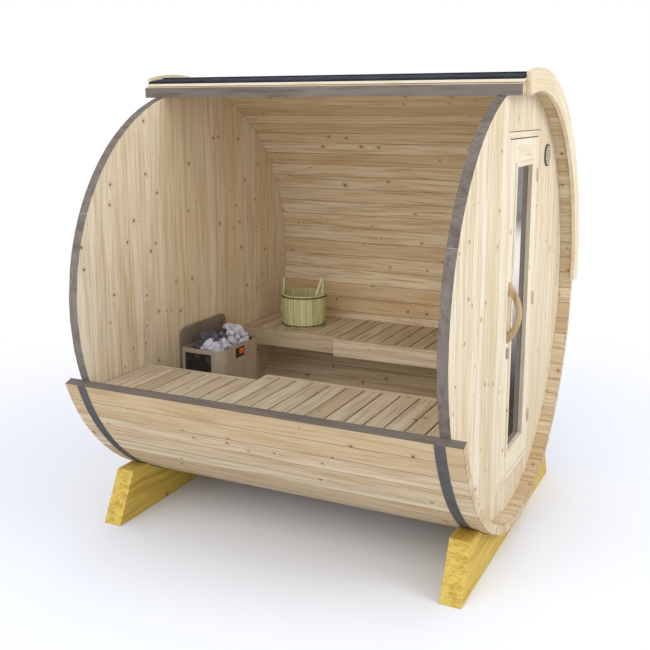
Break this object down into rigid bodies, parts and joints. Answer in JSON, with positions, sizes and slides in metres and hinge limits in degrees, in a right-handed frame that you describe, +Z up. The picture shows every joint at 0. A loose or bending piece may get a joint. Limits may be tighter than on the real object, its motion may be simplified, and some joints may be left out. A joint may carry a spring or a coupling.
{
  "type": "barrel sauna",
  "caption": "Barrel-shaped wooden outdoor sauna on cradles, cut open along one side, with a glazed end door, benches, heater, bucket and an arched shingle roof.",
  "frame": {"origin": "on the ground under the middle of the whole plan", "axes": "+X along the barrel to the door end, +Y to the closed far side, +Z up"},
  "size_m": [1.9306, 2.0387, 2.16],
  "materials": {
    "treated_pine": "planed pine with a yellow preservative wash",
    "spruce_staves": "planed knotty spruce staves",
    "spruce_walls": "planed knotty spruce boards, upright",
    "spruce_door": "planed clear spruce",
    "spruce_trim": "planed spruce arches",
    "roof_boards": "thin sawn roof boards",
    "aspen_bench": "planed bench boards",
    "beech_pull": "turned and bent hardwood",
    "bucket_wood": "pale bucket staves",
    "door_glass": "toughened grey-tinted glass",
    "grey_latch": "grey painted",
    "zinc_steel": "zinc plated",
    "dark_vent": "dark moulded louvre",
    "galvanised_band": "dull galvanised strap",
    "bitumen_shingle": "mineral-faced bitumen",
    "heater_steel": "warm grey enamelled sheet",
    "heater_dark_steel": "dark heat-resistant paint",
    "sauna_stone": "broken pale and dark stones",
    "hoop_steel": "dark steel hoop"
  },
  "bodies": {
    "cabin": {"cradle_left": "treated_pine", "cradle_right": "treated_pine", "near_lower_staves": "spruce_staves", "bottom_near_staves": "spruce_staves", "bottom_far_staves": "spruce_staves", "far_lower_staves": "spruce_staves", "far_middle_staves": "spruce_staves", "far_upper_staves": "spruce_staves", "roof_staves": "spruce_staves", "left_end_wall": "spruce_walls", "door_wall_near": "spruce_walls", "door_wall_far": "spruce_walls", "door_wall_over": "spruce_walls", "door_wall_under": "spruce_walls", "door_jambs": "spruce_door", "door_head_and_sill": "spruce_door", "door_stops": "spruce_door", "jamb_hinges": "zinc_steel", "wall_vent": "dark_vent", "band_left": "galvanised_band", "band_right": "galvanised_band", "roof_deck": "roof_boards", "roof_shingles": "bitumen_shingle", "trim_left": "spruce_trim", "trim_right": "spruce_trim", "near_bench_boards": "aspen_bench", "near_bench_fascia": "aspen_bench", "far_bench_boards": "aspen_bench", "far_bench_fascia": "aspen_bench", "bench_rails": "aspen_bench", "floor_slats": "aspen_bench", "floor_bearers": "aspen_bench", "heater_case": "heater_steel", "heater_back_plate": "heater_dark_steel", "heater_stones": "sauna_stone", "bucket": "bucket_wood", "bucket_hoops": "hoop_steel", "ladle": "beech_pull"},
    "door": {"door_stiles": "spruce_door", "door_rails": "spruce_door", "door_bead": "spruce_door", "door_glass": "door_glass", "outer_pull": "beech_pull", "inner_pull": "beech_pull", "door_latch": "grey_latch", "door_hinges": "zinc_steel"}
  },
  "joints": [
    {"name": "door_hinge", "type": "hinge", "parent": "cabin", "child": "door", "pos_m": [0.889, 0.2741, 1.1], "axis": [0, 0, 1], "range_deg": [0, 110]}
  ]
}
